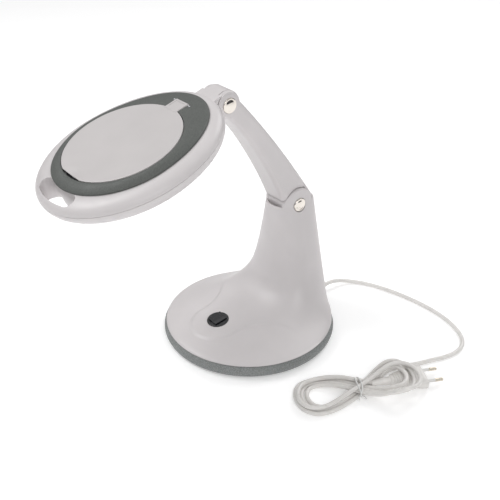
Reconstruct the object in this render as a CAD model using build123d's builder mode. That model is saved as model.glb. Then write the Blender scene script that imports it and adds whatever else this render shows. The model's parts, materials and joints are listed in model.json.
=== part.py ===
from build123d import *
import os
from math import cos, pi, radians, sin, tan

# Magnifying desk lamp with a weighted round base, a leaning column, a tilting arm and a tilting
# head that holds a lens, a ring of LEDs and a lens lid.
# Millimetres, +Z up. The origin is on the floor at the centre of the round base, the front of the
# lamp faces -Y, and X = 0 is the plane of symmetry, so every main hinge turns about X.

# ---- driving dimensions ---------------------------------------------------------------------

# base
base_radius = 100.0          # rim of the white shell
tray_bulge = 2.8             # how far the grey tray stands out past the rim
foot_pad_thickness = 1.5
tray_floor = 2.5
tray_wall = 4.0
rim_height = 15.0            # where the shell sits on the tray
ballast_radius = 88.0
ballast_thickness = 5.0
shell_wall = 2.8

# column
collar_height = 157.0        # top of the column's front wall
column_front = 32.0          # front face of the column at the collar
column_back = 90.0           # back face of the column at the collar
column_half_width = 21.5     # side face of the column at the collar
column_foot_half_width = 58.0
flare_spread = 0.104         # share of the height over which the front flares into the dome
flare_power = 2.5            # how suddenly it does so
flank_spread = 0.068         # the same for the flanks
flank_power = 1.8

# lower hinge
lower_pivot_y = 57.5
lower_pivot_z = 157.5
cheek_radius = 19.5
cheek_gap = 28.4             # clear width between the column's two cheeks
knuckle_radius = 19.0        # the arm's round lower end, between the column's cheeks
knuckle_room = 0.6           # clear of the column's inside, all round the knuckle
bolt_radius = 3.0
running_clearance = 0.05     # radial, between a bolt and what turns on it
washer_thickness = 0.5
side_clearance = 0.05        # each side of a washer
cap_radius = 8.3
cap_recess_depth = 2.6
cap_dome = 1.9

# arm
arm_length = 168.8           # from the lower hinge to the upper hinge
arm_lean = 34.0              # degrees from vertical towards the front, as stored
arm_bottom_half_width = 18.0
arm_top_half_width = 15.8
arm_wall = 2.2
arm_corner = 5.5
body_gap = 0.9               # between the arm and the round cheeks of the column
web_front = 10.0             # the web from the knuckle up into the arm, in front of the hinge
web_back = 13.0              # and behind it
fork_gap = 23.0              # clear width between the arm's two upper cheeks
fork_radius = 14.8
fork_edge = 4.5              # rounding of the fork's outer edges
fork_proud = 0.5             # the fork's end faces stand out this far from the arm's sides
barrel_radius = 15.0         # neck barrel between the fork cheeks
seam_gap = 0.35              # width and depth of the line between the arm's two halves
seam_depth = 1.0

# head
head_tilt = 18.3             # degrees, front edge down
head_half_width = 87.0
head_front = 95.0
head_rear = 103.0
head_level = 16.0            # depth of the widest outline below the lid
head_depth = 31.0            # depth of the underside below the lid
head_wall = 2.4
ring_half_width = 71.5
ring_front = 74.0
ring_rear = 92.5
ring_level = 6.0             # depth of the grey ring's outer edge below the lid
lid_radius = 61.0
lid_thickness = 2.2
lid_gap = 0.6
lid_tab_half_width = 10.0
lid_hinge_offset = 73.5      # hinge of the lid behind the lens centre
lid_pin_radius = 1.0
lens_radius = 60.0
lens_edge = 3.0
lens_bulge = 3.5             # rise of each face of the lens above its edge
lens_ledge = 10.0            # depth of the lens's lower edge below the lid
led_count = 30
led_board_depth = 20.0
head_post_radius = 4.0
head_screw_radius = 1.3
head_screw_head = 2.7        # radius of the screw's head
slot_center = -5.0           # centre of the curved finger slot's arc, from the lens centre
slot_radius = 76.2
slot_half_angle = 17.0
slot_width = 15.0
slot_wall = 2.2

# switch
switch_y = -46.5
switch_z = 28.4
switch_slope = 8.0           # degrees, front edge down
switch_radius = 13.0
rocker_tilt = 9.0

# cord
cord_diameter = 5.0
cord_exit_height = 9.0
relief_length = 24.0

os.makedirs("parts", exist_ok=True)


def save(piece, name):
    """Label a finished piece and write it as its own STEP file."""
    piece.part.label = name
    export_step(piece.part, f"parts/{name}.step")


# ---- shared shapes --------------------------------------------------------------------------

def oval_face(plane, front, back, half_width, widest=0.0, power=2.0, count=36):
    """Closed egg-shaped face: front and back are its ends along the plane's Y axis."""
    points = []
    for step in range(count):
        turn = 2 * pi * step / count
        reach = back - widest if sin(turn) > 0 else widest - front
        x = half_width * abs(cos(turn)) ** (2 / power) * (1 if cos(turn) > 0 else -1)
        y = widest + reach * abs(sin(turn)) ** (2 / power) * (1 if sin(turn) > 0 else -1)
        points.append((x, y))
    with BuildSketch(plane) as section:
        with BuildLine():
            Spline(*points, periodic=True)
        make_face()
    return section.sketch.face()


def fade(share, spread, power):
    """Falls smoothly from 1 at the rim towards 0 at the top of the column."""
    return 1 / (1 + (share / spread) ** power)


def shell_face(height, inset=0.0, drop=0.0):
    """Horizontal section of the base shell at a height, shrunk by inset and lowered by drop."""
    share = min((height - rim_height) / (collar_height - rim_height), 1.0)
    front = column_front - (column_front + base_radius) * fade(share, flare_spread, flare_power)
    back = base_radius - (base_radius - column_back) * share
    half = column_foot_half_width + (column_half_width - column_foot_half_width) * share
    half = half + (base_radius - column_foot_half_width) * fade(share, flank_spread, flank_power)
    widest = (lower_pivot_y + 4) * (1 - fade(share, 0.09, 1.8))
    power = 2 + 0.5 * share / (share + 0.05)
    return oval_face(Plane.XY.offset(height - drop), front + inset, back - inset, half - inset,
                     widest, power)


def shell_heights(top):
    """Heights of the shell's sections: close together over the dome, wide apart on the column."""
    shares = [0.0, 0.02, 0.045, 0.075, 0.105, 0.14, 0.19, 0.26, 0.37, 0.52, 0.7, 0.87]
    rise = collar_height - rim_height
    return [rim_height + share * rise for share in shares] + [collar_height, top]


cheek_top = lower_pivot_z + cheek_radius
side = Plane.YZ
lower_pivot = (lower_pivot_y, lower_pivot_z)


# ---- base -----------------------------------------------------------------------------------

tray_top = rim_height
floor_top = foot_pad_thickness + tray_floor
ballast_top = floor_top + ballast_thickness
tray_inner = base_radius - tray_wall
screw_circle = 0.74 * base_radius
screw_radius = 1.75
screw_head_radius = 3.4
screw_head_height = 1.8
post_radius = 4.5
screw_spots = PolarLocations(screw_circle, 4, start_angle=45)

with BuildPart() as foot_pad:
    with BuildSketch():
        Circle(base_radius - 3)
    extrude(amount=foot_pad_thickness)
save(foot_pad, "foot_pad")

with BuildPart() as base_tray:
    with BuildSketch(Plane.XZ):
        with BuildLine():
            Polyline((0, foot_pad_thickness), (base_radius - 0.6, foot_pad_thickness))
            ThreePointArc((base_radius - 0.6, foot_pad_thickness),
                          (base_radius + tray_bulge, foot_pad_thickness + 5),
                          (base_radius - 0.4, tray_top))
            Polyline((base_radius - 0.4, tray_top), (tray_inner, tray_top),
                     (tray_inner, floor_top), (0, floor_top), (0, foot_pad_thickness))
        make_face()
    revolve(axis=Axis.Z)
    with BuildSketch(Plane.XY.offset(foot_pad_thickness)):
        with screw_spots:
            Circle(screw_head_radius + 0.3)
    extrude(amount=screw_head_height, mode=Mode.SUBTRACT)
    with BuildSketch(Plane.XY.offset(foot_pad_thickness)):
        with screw_spots:
            Circle(screw_radius + 0.25)
    extrude(amount=tray_floor, mode=Mode.SUBTRACT)
    with BuildSketch(Plane(origin=(0, tray_inner - 4, cord_exit_height), z_dir=(0, 1, 0))):
        Circle(cord_diameter / 2 + 1.3)
    extrude(amount=tray_wall + tray_bulge + 8, mode=Mode.SUBTRACT)
save(base_tray, "base_tray")

with BuildPart() as ballast_plate:
    with BuildSketch(Plane.XY.offset(floor_top)):
        Circle(ballast_radius)
        with screw_spots:
            Circle(screw_radius + 0.6, mode=Mode.SUBTRACT)
    extrude(amount=ballast_thickness)
    chamfer(ballast_plate.edges().filter_by(GeomType.CIRCLE).group_by(SortBy.RADIUS)[-1], 0.6)
save(ballast_plate, "ballast_plate")

screw_tip = ballast_top + 9
with BuildPart() as base_screws:
    with BuildSketch(Plane.XY.offset(foot_pad_thickness + 0.1)):
        with screw_spots:
            Circle(screw_head_radius)
    extrude(amount=screw_head_height - 0.1)
    with BuildSketch(Plane.XY.offset(foot_pad_thickness + 0.1)):
        with screw_spots:
            Circle(screw_radius)
    extrude(amount=screw_tip - foot_pad_thickness)
save(base_screws, "base_screws")

with BuildPart() as shell_outside:
    loft([shell_face(height) for height in shell_heights(cheek_top + 4)])

# side view of everything that stays: the column up to its collar, and the two round cheeks
with BuildPart() as column_profile:
    with BuildSketch(side):
        with Locations((0, collar_height / 2)):
            Rectangle(3 * base_radius, collar_height)
        with Locations(lower_pivot):
            Circle(cheek_radius)
    extrude(amount=2 * base_radius, both=True)

with BuildPart() as cheek_blocks:
    for direction in (1, -1):
        with BuildSketch(side.offset(direction * cheek_gap / 2)):
            with Locations(lower_pivot):
                Circle(cheek_radius)
            with Locations((lower_pivot_y, lower_pivot_z - cheek_radius / 2)):
                Rectangle(2 * cheek_radius, cheek_radius)
        extrude(amount=direction * base_radius)

with BuildPart() as screw_posts:
    with BuildSketch(Plane.XY.offset(ballast_top + 0.2)):
        with screw_spots:
            Circle(post_radius)
    extrude(amount=lower_pivot_z / 2)

with BuildPart() as shell_cavity:
    heights = shell_heights(cheek_top + 4)[:-1] + [cheek_top + 12]
    loft([shell_face(height, shell_wall, shell_wall) for height in heights])
    add(cheek_blocks.part, mode=Mode.SUBTRACT)
    add(screw_posts.part, mode=Mode.SUBTRACT)

cap_face = column_half_width
with BuildPart() as base_shell:
    add(shell_outside.part)
    add(column_profile.part, mode=Mode.INTERSECT)
    add(shell_cavity.part, mode=Mode.SUBTRACT)
    # the arm's knuckle goes between the cheeks
    with BuildSketch(side):
        with Locations((lower_pivot_y, collar_height + 30)):
            Rectangle(4 * cheek_radius, 60)
        with Locations(lower_pivot):
            Circle(knuckle_radius + knuckle_room)
    extrude(amount=cheek_gap / 2, both=True, mode=Mode.SUBTRACT)
    # pilot holes for the base screws
    with BuildSketch(Plane.XY.offset(ballast_top)):
        with screw_spots:
            Circle(screw_radius)
    extrude(amount=screw_tip - ballast_top + 1, mode=Mode.SUBTRACT)
    # bolt hole through the cheeks, with a round seat for each chrome cap
    with BuildSketch(side):
        with Locations(lower_pivot):
            Circle(bolt_radius)
    extrude(amount=column_half_width + 5, both=True, mode=Mode.SUBTRACT)
    for direction in (1, -1):
        with BuildSketch(side.offset(direction * (cap_face - cap_recess_depth))):
            with Locations(lower_pivot):
                Circle(cap_radius)
        extrude(amount=direction * 10, mode=Mode.SUBTRACT)
    # round cut-out for the switch
    switch_plane = Plane(origin=(0, switch_y, switch_z), x_dir=(1, 0, 0),
                         z_dir=(0, -sin(radians(switch_slope)), cos(radians(switch_slope))))
    with BuildSketch(switch_plane.offset(-10)):
        Circle(switch_radius - 1.5)
    extrude(amount=20, mode=Mode.SUBTRACT)
save(base_shell, "base_shell")

# driver board inside the base
board_z = ballast_top + 4
board_size = (56.0, 34.0, 1.6)
board_y = 22.0
with BuildPart() as board_standoffs:
    with BuildSketch(Plane.XY.offset(ballast_top)):
        with Locations((0, board_y)):
            with GridLocations(board_size[0] - 8, board_size[1] - 8, 2, 2):
                Circle(3)
    extrude(amount=board_z - ballast_top)
save(board_standoffs, "board_standoffs")

with BuildPart() as driver_board:
    with BuildSketch(Plane.XY.offset(board_z)):
        with Locations((0, board_y)):
            RectangleRounded(board_size[0], board_size[1], 2)
    extrude(amount=board_size[2])
save(driver_board, "driver_board")

# a transformer, two capacitors and a terminal block
component_height = 11.0
with BuildPart() as driver_components:
    with BuildSketch(Plane.XY.offset(board_z + board_size[2])):
        with Locations((-14, board_y)):
            RectangleRounded(16, 18, 1)
        with Locations((6, board_y + 6), (6, board_y - 7)):
            Circle(4.5)
        with Locations((20, board_y)):
            Rectangle(8, 20)
    extrude(amount=component_height)
save(driver_components, "driver_components")

# ---- switch ---------------------------------------------------------------------------------

switch_barrel = switch_radius - 1.6
with BuildPart() as switch_housing:
    with BuildSketch(switch_plane.offset(0.2)):
        Circle(switch_radius)
    extrude(amount=1.6)
    fillet(switch_housing.edges().group_by(Axis.Z)[-1], 0.7)
    with BuildSketch(switch_plane.offset(-13)):
        Circle(switch_barrel)
    extrude(amount=14)
    with BuildSketch(switch_plane.offset(-6)):
        RectangleRounded(15.4, 17.4, 1.5)
    extrude(amount=10, mode=Mode.SUBTRACT)
    with BuildSketch(Plane.XY.offset(ballast_top + 0.6)):
        with Locations((-4, switch_y), (4, switch_y)):
            Rectangle(0.8, 4.8)
    extrude(amount=switch_z - 11 - ballast_top)
save(switch_housing, "switch_housing")

# the rocker tips sideways in its pocket, stored with its -X half raised
across = switch_plane.x_dir * cos(radians(rocker_tilt))
across = across - switch_plane.z_dir * sin(radians(rocker_tilt))
rocker_plane = Plane(origin=switch_plane.origin, x_dir=across, z_dir=switch_plane.y_dir * -1)
rocker_half_width = 6.5
rocker_half_length = 8.2
with BuildPart() as switch_rocker:
    with BuildSketch(rocker_plane):
        with BuildLine():
            Polyline((0, 2.0), (rocker_half_width, 4.4), (rocker_half_width, 1.0), (3, -4.0),
                     (-3, -4.0), (-rocker_half_width, 1.0), (-rocker_half_width, 4.4), (0, 2.0))
        make_face()
    extrude(amount=rocker_half_length, both=True)
save(switch_rocker, "switch_rocker")


# ---- hinge hardware -------------------------------------------------------------------------

def dome_point(radius, rise, level):
    """Point half way out on a dome of this radius and rise, whose rim is at a level."""
    sphere = (radius ** 2 + rise ** 2) / (2 * rise)
    return radius / 2, level + rise - sphere + (sphere ** 2 - radius ** 2 / 4) ** 0.5


def hinge_hardware(name, center, face, gap, washer_radius):
    """Bolt, two friction washers and two chrome caps of a hinge about X.

    center is the hinge's (y, z), face is where the outer sides of the cheeks lie, and gap is the
    clear width between the cheeks."""
    seat = face - cap_recess_depth
    head_height = cap_recess_depth - 0.8
    with BuildPart() as bolt:
        with BuildSketch(side):
            with Locations(center):
                Circle(bolt_radius)
        extrude(amount=seat, both=True)
        for direction in (1, -1):
            with BuildSketch(side.offset(direction * seat)):
                with Locations(center):
                    RegularPolygon(bolt_radius + 2.6, 6)
            extrude(amount=direction * head_height)
    save(bolt, name + "_bolt")

    with BuildPart() as washers:
        for direction in (1, -1):
            with BuildSketch(side.offset(direction * (gap / 2 - side_clearance))):
                with Locations(center):
                    Circle(washer_radius)
                    Circle(bolt_radius + running_clearance, mode=Mode.SUBTRACT)
            extrude(amount=-direction * washer_thickness)
    save(washers, name + "_washers")

    with BuildPart() as caps:
        with BuildSketch(Plane(origin=(seat, center[0], center[1]), x_dir=(0, 1, 0),
                               z_dir=(0, 0, -1))):
            with BuildLine():
                Line((cap_radius, 0), (cap_radius, cap_recess_depth))
                ThreePointArc((cap_radius, cap_recess_depth),
                              dome_point(cap_radius, cap_dome, cap_recess_depth),
                              (0, cap_recess_depth + cap_dome))
                Polyline((0, cap_recess_depth + cap_dome), (0, head_height + 0.1),
                         (bolt_radius + 3, head_height + 0.1), (bolt_radius + 3, 0),
                         (cap_radius, 0))
            make_face()
        revolve(axis=Axis((seat, center[0], center[1]), (1, 0, 0)))
        mirror(about=side)
    save(caps, name + "_caps")


hinge_hardware("lower_hinge", lower_pivot, cap_face, cheek_gap, knuckle_radius - 2.5)


# ---- arm ------------------------------------------------------------------------------------

lean = radians(arm_lean)
arm_direction = Vector(0, -sin(lean), cos(lean))
arm_back = Vector(0, cos(lean), sin(lean))
arm_origin = Vector(0, lower_pivot_y, lower_pivot_z)
arm_side = Plane(origin=arm_origin, x_dir=arm_direction, z_dir=(-1, 0, 0))
upper_origin = arm_origin + arm_direction * arm_length
upper_pivot = (upper_origin.Y, upper_origin.Z)
knuckle_half_width = cheek_gap / 2 - washer_thickness - 2 * side_clearance
skirt = cheek_radius + body_gap
skirt_edge = skirt - 1.5     # straight lower edge of the arm's front


def arm_face(along, inset=0.0):
    """Section across the arm at a distance along it, shrunk by inset."""
    share = max(along, 0) / arm_length
    back = 22.8 - 10.6 * share ** 2.3 - inset
    waist = 0.68 * arm_length
    hollow = 11.5 * (1 - along / waist) ** 2 if along < waist else 5 * ((along - waist) / 45) ** 2
    front = -4.6 - hollow + inset
    half = arm_bottom_half_width + (arm_top_half_width - arm_bottom_half_width) * share - inset
    middle = arm_origin + arm_direction * along + arm_back * ((front + back) / 2)
    with BuildSketch(Plane(origin=middle, x_dir=(1, 0, 0), z_dir=arm_direction)) as section:
        RectangleRounded(2 * half, back - front, arm_corner - 0.6 * inset)
    return section.sketch.face()


fork_face = arm_top_half_width + fork_proud
cavity_start = skirt + 3.6
cavity_end = arm_length - barrel_radius - 4
with BuildPart() as arm_cavity:
    stations = [cavity_start, 0.38 * arm_length, 0.6 * arm_length, 0.78 * arm_length, cavity_end]
    loft([arm_face(along, arm_wall) for along in stations])

# round upper end of the arm, with its edges rolled over
with BuildPart() as fork_boss:
    with BuildSketch(arm_side):
        with Locations((arm_length, 0)):
            Circle(fork_radius)
    extrude(amount=fork_face, both=True)
    fillet(fork_boss.edges().filter_by(GeomType.CIRCLE), fork_edge)

with BuildPart() as arm_body:
    stations = [-9, 30, 0.38 * arm_length, 0.6 * arm_length, 0.78 * arm_length,
                0.92 * arm_length, arm_length + 16]
    loft([arm_face(along) for along in stations])
    # round top about the upper hinge
    with BuildSketch(arm_side):
        with Locations((arm_length / 2 - 10, 0)):
            Rectangle(arm_length + 4, 80)
        with Locations((arm_length, 0)):
            Circle(fork_radius - 0.8)
    extrude(amount=arm_bottom_half_width + 5, both=True, mode=Mode.INTERSECT)
    add(fork_boss.part)
    # room for the column's round cheeks, and a straight lower edge in front
    with BuildSketch(arm_side):
        Circle(skirt)
        with Locations((skirt_edge - 30, -30)):
            Rectangle(60, 60)
    extrude(amount=arm_bottom_half_width + 5, both=True, mode=Mode.SUBTRACT)
    # the tail of the back is narrow enough to pass between the cheeks
    tail_half_width = cheek_gap / 2 - 0.8
    for direction in (1, -1):
        with BuildSketch(arm_side.offset(direction * tail_half_width)):
            with Locations((-18, 20)):
                Rectangle(60, 40)
        extrude(amount=direction * 20, mode=Mode.SUBTRACT)
    # knuckle that turns on the lower bolt
    with BuildSketch(arm_side):
        Circle(knuckle_radius)
        with BuildLine():
            Polyline((0, -web_front), (cavity_start, -web_front), (cavity_start, web_back),
                     (0, web_back), (0, -web_front))
        make_face()
    extrude(amount=knuckle_half_width, both=True)
    add(arm_cavity.part, mode=Mode.SUBTRACT)
    with BuildSketch(arm_side):
        Circle(bolt_radius + running_clearance)
    extrude(amount=knuckle_half_width, both=True, mode=Mode.SUBTRACT)
    # fork at the top
    with BuildSketch(arm_side):
        with Locations((arm_length, 0)):
            Circle(barrel_radius + 0.8)
    extrude(amount=fork_gap / 2, both=True, mode=Mode.SUBTRACT)
    with BuildSketch(arm_side):
        with Locations((arm_length, 0)):
            Circle(bolt_radius)
    extrude(amount=arm_bottom_half_width, both=True, mode=Mode.SUBTRACT)
    for direction in (1, -1):
        with BuildSketch(arm_side.offset(direction * (fork_face - cap_recess_depth))):
            with Locations((arm_length, 0)):
                Circle(cap_radius)
        extrude(amount=direction * 10, mode=Mode.SUBTRACT)

seam_end = arm_length - barrel_radius - 2
seam_points = [(-14, 17), (10, 18.4), (39, 17.7), (64, 16.0), (88, 14.2), (123, 10.6),
               (seam_end, 7.2)]
# everything behind the seam, apart from the knuckle, which stays whole
with BuildPart() as behind_seam:
    with BuildSketch(arm_side):
        with BuildLine():
            seam = Spline(*seam_points)
            Polyline(seam @ 1, (seam_end, 40), (-14, 40), seam @ 0)
        make_face()
        Circle(knuckle_radius + 0.5, mode=Mode.SUBTRACT)
    extrude(amount=40, both=True)

# fine line sunk into each side face, all along the seam
with BuildPart() as seam_groove:
    for direction in (1, -1):
        out = Vector(direction, 0, 0)
        along_side = arm_direction * arm_length
        along_side = along_side - out * (arm_bottom_half_width - arm_top_half_width)
        groove_floor = Plane(origin=arm_origin + out * (arm_bottom_half_width - seam_depth),
                             x_dir=along_side, z_dir=along_side.cross(arm_back))
        with BuildSketch(groove_floor):
            with BuildLine():
                outer = Spline(*seam_points)
                inner = Spline(*[(along, aside - seam_gap) for along, aside in seam_points])
                Line(outer @ 0, inner @ 0)
                Line(outer @ 1, inner @ 1)
            make_face()
        extrude(amount=-direction * 6)

with BuildPart() as arm_back_cover:
    add(arm_body.part)
    add(behind_seam.part, mode=Mode.INTERSECT)
save(arm_back_cover, "arm_back_cover")

with BuildPart() as arm_front_shell:
    add(arm_body.part)
    add(behind_seam.part, mode=Mode.SUBTRACT)
    add(seam_groove.part, mode=Mode.SUBTRACT)
save(arm_front_shell, "arm_front_shell")

hinge_hardware("upper_hinge", upper_pivot, fork_face, fork_gap, barrel_radius - 2.5)


# ---- head -----------------------------------------------------------------------------------

tilt = radians(head_tilt)
head_back = Vector(0, cos(tilt), sin(tilt))
head_up = Vector(0, -sin(tilt), cos(tilt))
neck_reach = 114.4           # upper hinge behind the lens centre
neck_drop = 24.4             # upper hinge below the lid
head_origin = upper_origin - head_back * neck_reach + head_up * neck_drop
head_side = Plane(origin=head_origin, x_dir=head_back, z_dir=(1, 0, 0))


def head_plane(depth):
    """Plane across the head at a depth below the lid: X to the side, Y to the back."""
    return Plane(origin=head_origin - head_up * depth, x_dir=(1, 0, 0), z_dir=head_up)


def head_oval(depth, half_width, front, rear, inset=0.0):
    return oval_face(head_plane(depth), inset - front, rear - inset, half_width - inset)


widest_oval = (head_half_width, head_front, head_rear)
ring_oval = (ring_half_width, ring_front, ring_rear)
bottom_oval = (72.0, 79.0, 88.0)


def rounded_stack(outer, inner, start, end, inset=0.0, steps=4):
    """Loft whose outline goes from outer at depth start to inner at depth end in a quarter turn."""
    faces = []
    for step in range(steps + 1):
        turn = pi / 2 * step / steps
        sizes = [i + (o - i) * cos(turn) for o, i in zip(outer, inner)]
        faces.append(head_oval(start + (end - start) * sin(turn), *sizes, inset))
    with BuildPart() as stack:
        loft(faces)
    return stack.part


def handle_slot(depth, reach, width, limit=None):
    """Curved finger slot through the front of the head, kept within limit if that is given."""
    middle = CenterArc((0, slot_center), slot_radius, 270 - slot_half_angle, 2 * slot_half_angle)
    with BuildPart() as slot:
        with BuildSketch(head_plane(depth)):
            SlotArc(middle, width)
        extrude(amount=reach)
        if limit:
            add(limit, mode=Mode.INTERSECT)
    return slot.part


cover_top = ring_level + 0.6
barrel_inner = lens_radius - 3
barrel_outer = lens_radius - 0.6
lens_seat = lens_ledge + lens_bulge * (1 - (barrel_inner / lens_radius) ** 2) + 0.02
diffuser_radius = lens_radius + 9.5
head_screw_spots = [(42, 70), (-42, 70), (38, -64), (-38, -64)]
post_end = head_level - 0.1

# neck: a barrel between the fork cheeks, and a wide root clamped in the rear of the head
root_start = neck_reach - 19
with BuildPart() as neck:
    with BuildSketch(head_side):
        with BuildLine():
            Polyline((root_start, -29), (root_start, -10), (neck_reach - 6, -9.6),
                     (neck_reach - 4, -12), (neck_reach - 10, -32), (neck_reach - 16, -31.5),
                     (root_start, -29))
        make_face()
    extrude(amount=fork_face - 0.3, both=True)
    with BuildSketch(head_side):
        with Locations((neck_reach, -neck_drop)):
            Circle(fork_radius + 0.6)
    extrude(amount=fork_face + 5, both=True, mode=Mode.SUBTRACT)
    with BuildSketch(head_side):
        with Locations((neck_reach, -neck_drop)):
            Circle(barrel_radius)
        with BuildLine():
            Polyline((neck_reach, barrel_radius - neck_drop), (root_start + 1, -10.5),
                     (root_start + 1, -30), (neck_reach - 4, -barrel_radius - neck_drop + 1),
                     (neck_reach, barrel_radius - neck_drop))
        make_face()
    extrude(amount=fork_gap / 2 - washer_thickness - 2 * side_clearance, both=True)
    with BuildSketch(head_side):
        with Locations((neck_reach, -neck_drop)):
            Circle(bolt_radius + running_clearance)
    extrude(amount=fork_gap, both=True, mode=Mode.SUBTRACT)
save(neck, "neck")

with BuildPart() as fork_room:
    with BuildSketch(head_side):
        with Locations((neck_reach, -neck_drop)):
            Circle(fork_radius + 0.9)
    extrude(amount=fork_face + 1.5, both=True)

cover_oval = [size + 1 for size in ring_oval]
cover_solid = rounded_stack(widest_oval, cover_oval, head_level, cover_top)
housing_solid = rounded_stack(widest_oval, bottom_oval, head_level, head_depth)

with BuildPart() as head_upper_cover:
    add(cover_solid)
    add(rounded_stack(widest_oval, cover_oval, head_level, cover_top + head_wall, head_wall),
        mode=Mode.SUBTRACT)
    # lens barrel with a step that the lens rests on
    with BuildSketch(head_plane(head_depth)):
        Circle(barrel_outer)
    extrude(amount=head_depth - cover_top)
    with BuildSketch(head_plane(lens_ledge + 3)):
        Circle(lens_radius + 2.5)
    extrude(amount=lens_ledge + 3 - cover_top)
    with BuildSketch(head_plane(head_depth)):
        Circle(barrel_inner)
    extrude(amount=head_depth, mode=Mode.SUBTRACT)
    with BuildSketch(head_plane(lens_seat)):
        Circle(lens_radius + 0.1)
    extrude(amount=lens_seat, mode=Mode.SUBTRACT)
    # screw posts
    with BuildSketch(head_plane(post_end)):
        with Locations(*head_screw_spots):
            Circle(head_post_radius)
    extrude(amount=post_end - cover_top - head_wall / 2)
    with BuildSketch(head_plane(post_end)):
        with Locations(*head_screw_spots):
            Circle(head_screw_radius)
    extrude(amount=6, mode=Mode.SUBTRACT)
    add(handle_slot(head_level + 2, head_level + 4, slot_width + 2 * slot_wall, cover_solid))
    add(handle_slot(head_level, head_level, slot_width), mode=Mode.SUBTRACT)
    # pocket for the lid's tab
    with BuildSketch(head_plane(cover_top + 1.8)):
        with Locations((0, (lid_radius + lid_hinge_offset + 6) / 2)):
            Rectangle(2 * lid_tab_half_width + 1.2, lid_hinge_offset + 6 - lid_radius)
    extrude(amount=4, mode=Mode.SUBTRACT)
    add(neck.part, mode=Mode.SUBTRACT)
    add(fork_room.part, mode=Mode.SUBTRACT)
save(head_upper_cover, "head_upper_cover")

with BuildPart() as head_lower_housing:
    add(housing_solid)
    add(rounded_stack(widest_oval, bottom_oval, head_level, head_depth - head_wall, head_wall),
        mode=Mode.SUBTRACT)
    with BuildSketch(head_plane(head_depth)):
        Circle(diffuser_radius + 0.1)
    extrude(amount=head_wall + 1, mode=Mode.SUBTRACT)
    with BuildSketch(head_plane(head_depth - 1)):
        with Locations(*head_screw_spots):
            Circle(head_post_radius + 0.2)
    extrude(amount=head_depth - 1 - head_level - 0.1)
    with BuildSketch(head_plane(head_depth + 1)):
        with Locations(*head_screw_spots):
            Circle(head_screw_radius + 0.5)
    extrude(amount=head_depth, mode=Mode.SUBTRACT)
    with BuildSketch(head_plane(head_depth + 1)):
        with Locations(*head_screw_spots):
            Circle(head_screw_head + 0.3)
    extrude(amount=6, mode=Mode.SUBTRACT)
    add(handle_slot(head_depth + 2, head_depth - head_level + 4, slot_width + 2 * slot_wall,
                    housing_solid))
    add(handle_slot(head_depth + 1, head_depth, slot_width), mode=Mode.SUBTRACT)
    add(neck.part, mode=Mode.SUBTRACT)
    add(fork_room.part, mode=Mode.SUBTRACT)
save(head_lower_housing, "head_lower_housing")

with BuildPart() as head_screws:
    with BuildSketch(head_plane(head_depth - 5)):
        with Locations(*head_screw_spots):
            Circle(head_screw_head)
    extrude(amount=-2.2)
    with BuildSketch(head_plane(head_depth - 5)):
        with Locations(*head_screw_spots):
            Circle(head_screw_radius)
    extrude(amount=head_depth - head_level)
save(head_screws, "head_screws")

# grey oval ring on top of the cover, domed up to the lid
hinge_depth = 1.9
pocket_start = lid_radius - 5
pocket_end = lid_hinge_offset + hinge_depth + 0.5
with BuildPart() as tab_pocket:
    with BuildSketch(head_plane(head_level)):
        with Locations((0, (pocket_start + pocket_end) / 2)):
            Rectangle(2 * lid_tab_half_width + 1.0, pocket_end - pocket_start)
    extrude(amount=head_level + 5)

with BuildPart() as trim_ring:
    add(rounded_stack(ring_oval, [lid_radius + 3] * 3, ring_level - 1, 0.8))
    with BuildSketch(head_plane(cover_top)):
        Circle(lid_radius + lid_gap)
    extrude(amount=cover_top + 5, mode=Mode.SUBTRACT)
    add(tab_pocket.part, mode=Mode.SUBTRACT)
    with BuildSketch(head_side):
        with Locations((lid_hinge_offset, -hinge_depth)):
            Circle(lid_pin_radius)
    extrude(amount=lid_tab_half_width + 4, both=True, mode=Mode.SUBTRACT)
save(trim_ring, "trim_ring")

with BuildPart() as lid:
    with BuildSketch(head_plane(lid_thickness)):
        Circle(lid_radius)
        with Locations((0, lid_radius - 4)):
            Rectangle(2 * lid_tab_half_width, 16)
        with Locations((0, -lid_radius)):
            Rectangle(30, 4.4, mode=Mode.SUBTRACT)
    extrude(amount=lid_thickness)
    # the tab runs on to a rolled end around its pin
    with BuildSketch(head_plane(lid_thickness)):
        with Locations((0, (lid_radius + lid_hinge_offset) / 2)):
            Rectangle(2 * lid_tab_half_width, lid_hinge_offset - lid_radius)
    extrude(amount=lid_thickness)
    with BuildSketch(head_side):
        with Locations((lid_hinge_offset, -hinge_depth)):
            Circle(hinge_depth)
    extrude(amount=lid_tab_half_width, both=True)
    with BuildSketch(head_side):
        with Locations((lid_hinge_offset, -hinge_depth)):
            Circle(lid_pin_radius + running_clearance)
    extrude(amount=lid_tab_half_width, both=True, mode=Mode.SUBTRACT)
save(lid, "lid")

with BuildPart() as lid_hinge_pin:
    with BuildSketch(head_side):
        with Locations((lid_hinge_offset, -hinge_depth)):
            Circle(lid_pin_radius)
    extrude(amount=lid_tab_half_width + 4, both=True)
save(lid_hinge_pin, "lid_hinge_pin")

# lens on its step, held down by a ring
lens_top = lens_ledge - lens_edge
with BuildPart() as lens:
    with BuildSketch(head_side):
        with BuildLine():
            Polyline((0, -lens_ledge - lens_bulge), (0, lens_bulge - lens_top))
            ThreePointArc((0, lens_bulge - lens_top),
                          dome_point(lens_radius, lens_bulge, -lens_top),
                          (lens_radius, -lens_top))
            Line((lens_radius, -lens_top), (lens_radius, -lens_ledge))
            lower_x, lower_y = dome_point(lens_radius, lens_bulge, lens_ledge)
            ThreePointArc((lens_radius, -lens_ledge), (lower_x, -lower_y),
                          (0, -lens_ledge - lens_bulge))
        make_face()
    revolve(axis=Axis(head_origin, head_up))
save(lens, "lens")

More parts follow.
